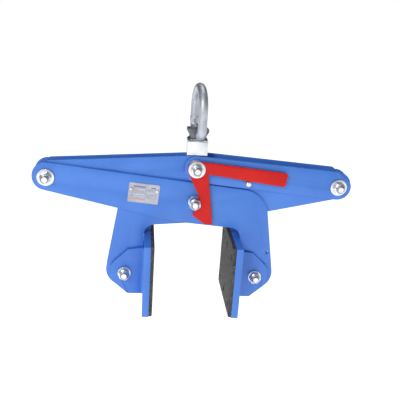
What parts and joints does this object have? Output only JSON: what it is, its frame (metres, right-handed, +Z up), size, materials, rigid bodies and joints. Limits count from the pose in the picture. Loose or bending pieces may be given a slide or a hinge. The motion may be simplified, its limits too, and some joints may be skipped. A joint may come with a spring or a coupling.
{
  "type": "plate lifting clamp",
  "caption": "Scissor-type lifting clamp with a top ring, crossed steel arms, swivelling rubber-lined jaws and a latch that holds it open.",
  "frame": {"origin": "centre of the footprint, on the floor that the open clamp stands on", "axes": "+X along the arms to the right, +Y through the plates to the rear, +Z up towards the lifting ring"},
  "size_m": [0.563, 0.15, 0.4077],
  "materials": {
    "blue_paint": "glossy powder coat",
    "red_paint": "satin paint",
    "zinc_steel": "bright zinc plated",
    "block_steel": "silver zinc plated",
    "ring_steel": "smooth drawn steel",
    "black_steel": "black oxide screws",
    "saddle_steel": "dull forged steel",
    "pad_rubber": "matte moulded rubber with a grain",
    "label_plate": "satin anodised"
  },
  "bodies": {
    "lifting_block": {"lifting_block": "block_steel", "ring_saddle": "saddle_steel", "saddle_weld": "block_steel", "apex_bolt": "zinc_steel", "apex_washers": "zinc_steel", "apex_nut": "zinc_steel"},
    "lifting_ring": {"lifting_ring": "ring_steel"},
    "left_link": {"left_link_front": "blue_paint", "left_link_rear": "blue_paint", "left_end_spacer": "blue_paint"},
    "right_link": {"right_link_front": "blue_paint", "right_link_rear": "blue_paint", "latch_stop_pin": "zinc_steel", "right_end_bolt": "zinc_steel", "right_end_washers": "zinc_steel", "right_end_nut": "zinc_steel"},
    "right_jaw_arm": {"right_arm_front": "blue_paint", "right_arm_rear": "blue_paint", "right_jaw_spacer": "blue_paint", "left_end_bolt": "zinc_steel", "left_end_washers": "zinc_steel", "left_end_nut": "zinc_steel", "centre_stud": "zinc_steel", "centre_washers": "zinc_steel", "centre_nut": "zinc_steel", "nameplate": "label_plate", "nameplate_rivets": "zinc_steel"},
    "left_jaw_arm": {"left_arm_front": "blue_paint", "left_arm_rear": "blue_paint", "left_jaw_spacer": "blue_paint", "centre_spacer": "blue_paint", "right_end_spacer": "blue_paint"},
    "left_jaw": {"left_backing_plate": "blue_paint", "left_jaw_lugs": "blue_paint", "left_jaw_welds": "blue_paint", "left_rubber_pad": "pad_rubber", "left_pad_screws": "black_steel", "left_jaw_bolt": "zinc_steel", "left_jaw_washers": "zinc_steel", "left_jaw_nut": "zinc_steel"},
    "right_jaw": {"right_backing_plate": "blue_paint", "right_jaw_lugs": "blue_paint", "right_jaw_welds": "blue_paint", "right_rubber_pad": "pad_rubber", "right_pad_screws": "black_steel", "right_jaw_bolt": "zinc_steel", "right_jaw_washers": "zinc_steel", "right_jaw_nut": "zinc_steel"},
    "latch_bush": {"latch_bush": "zinc_steel"},
    "latch": {"latch_lever": "red_paint"}
  },
  "joints": [
    {"name": "ring_swing", "type": "hinge", "parent": "lifting_block", "child": "lifting_ring", "pos_m": [0, 0, 0.322], "axis": [-0.1045, 0.9945, 0], "range_deg": [-95, 70]},
    {"name": "fold", "type": "hinge", "parent": "lifting_block", "child": "left_link", "pos_m": [0, 0, 0.263], "axis": [0, -1, 0], "range_deg": [0, 14]},
    {"name": "right_link_pivot", "type": "hinge", "parent": "lifting_block", "child": "right_link", "pos_m": [0, 0, 0.263], "axis": [0, 1, 0], "range_deg": [0, 14]},
    {"name": "left_end_pivot", "type": "hinge", "parent": "left_link", "child": "right_jaw_arm", "pos_m": [-0.258, 0, 0.237], "axis": [0, 1, 0], "range_deg": [0, 26.35]},
    {"name": "right_end_pivot", "type": "hinge", "parent": "right_link", "child": "left_jaw_arm", "pos_m": [0.258, 0, 0.237], "axis": [0, -1, 0], "range_deg": [0, 26.35]},
    {"name": "left_jaw_swivel", "type": "hinge", "parent": "left_jaw_arm", "child": "left_jaw", "pos_m": [-0.1205, 0, 0.059], "axis": [0, 1, 0], "range_deg": [0, 20]},
    {"name": "right_jaw_swivel", "type": "hinge", "parent": "right_jaw_arm", "child": "right_jaw", "pos_m": [0.1205, 0, 0.059], "axis": [0, -1, 0], "range_deg": [0, 20]},
    {"name": "latch_clear", "type": "hinge", "parent": "lifting_block", "child": "latch_bush", "pos_m": [0, 0, 0.263], "axis": [0, -1, 0], "range_deg": [0, 29.4]},
    {"name": "latch_lift", "type": "hinge", "parent": "latch_bush", "child": "latch", "pos_m": [0, 0, 0.263], "axis": [0, -1, 0], "range_deg": [0, 8]}
  ],
  "couplings": [
    {"joint": "right_link_pivot", "follows": "fold", "ratio": 1},
    {"joint": "left_end_pivot", "follows": "fold", "ratio": 1.882},
    {"joint": "right_end_pivot", "follows": "fold", "ratio": 1.882},
    {"joint": "latch_clear", "follows": "fold", "ratio": 2.1}
  ]
}
